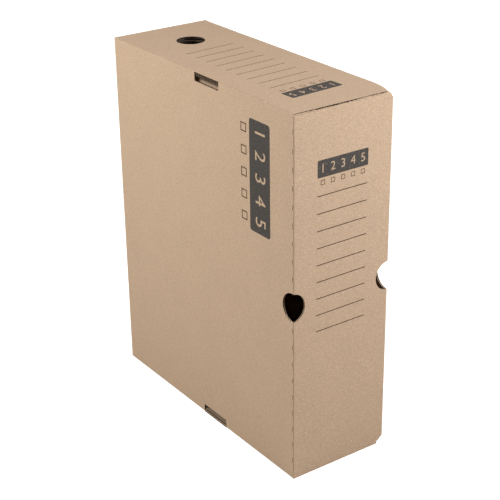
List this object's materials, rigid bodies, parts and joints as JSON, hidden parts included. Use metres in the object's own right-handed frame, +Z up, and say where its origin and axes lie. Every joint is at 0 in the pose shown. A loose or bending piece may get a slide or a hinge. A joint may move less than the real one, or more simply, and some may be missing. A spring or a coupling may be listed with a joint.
{
  "type": "archive box",
  "caption": "Upright folding archive box of thin corrugated kraft board, with a side lid on the spine, rolled top and bottom walls, lock slots and punched finger holes.",
  "frame": {"origin": "middle of the base, on the plane the box stands on", "axes": "+Z up; -Y is the way the narrow spine faces; -X is the side panel with the lock slots; +X is the lid, hinged on the spine's edge"},
  "size_m": [0.1, 0.27, 0.33],
  "materials": {
    "kraft_outside": "matt brown kraft liner over fine flutes",
    "kraft_inside": "matt brown kraft inner liner",
    "kraft_lid": "matt brown kraft liner over fine flutes"
  },
  "bodies": {
    "shell": {"side_panel": "kraft_outside", "spine_panel": "kraft_outside", "spine_flap_top": "kraft_inside", "spine_flap_bottom": "kraft_inside", "top_wall_outer": "kraft_outside", "top_wall_fold": "kraft_outside", "top_wall_inner": "kraft_inside", "top_wall_lip": "kraft_inside", "bottom_wall_outer": "kraft_outside", "bottom_wall_fold": "kraft_outside", "bottom_wall_inner": "kraft_inside", "bottom_wall_lip": "kraft_inside", "back_wall": "kraft_outside", "back_flap_top": "kraft_inside", "back_flap_bottom": "kraft_inside"},
    "lid": {"lid_panel": "kraft_lid"},
    "tuck_flap": {"lid_tuck_flap": "kraft_lid"},
    "ear_top": {"lid_ear_top": "kraft_lid"},
    "ear_bottom": {"lid_ear_bottom": "kraft_lid"}
  },
  "joints": [
    {"name": "lid_hinge", "type": "hinge", "parent": "shell", "child": "lid", "pos_m": [0.05, -0.135, 0.165], "axis": [0, 0, -1], "range_deg": [0, 180]},
    {"name": "tuck_flap_crease", "type": "hinge", "parent": "lid", "child": "tuck_flap", "pos_m": [0.0484, 0.1303, 0.165], "axis": [0, 0, 1], "range_deg": [0, 80]},
    {"name": "ear_top_crease", "type": "hinge", "parent": "lid", "child": "ear_top", "pos_m": [0.0484, 0, 0.32219], "axis": [0, -1, 0], "range_deg": [0, 80]},
    {"name": "ear_bottom_crease", "type": "hinge", "parent": "lid", "child": "ear_bottom", "pos_m": [0.0484, 0, 0.00781], "axis": [0, 1, 0], "range_deg": [0, 80]}
  ]
}
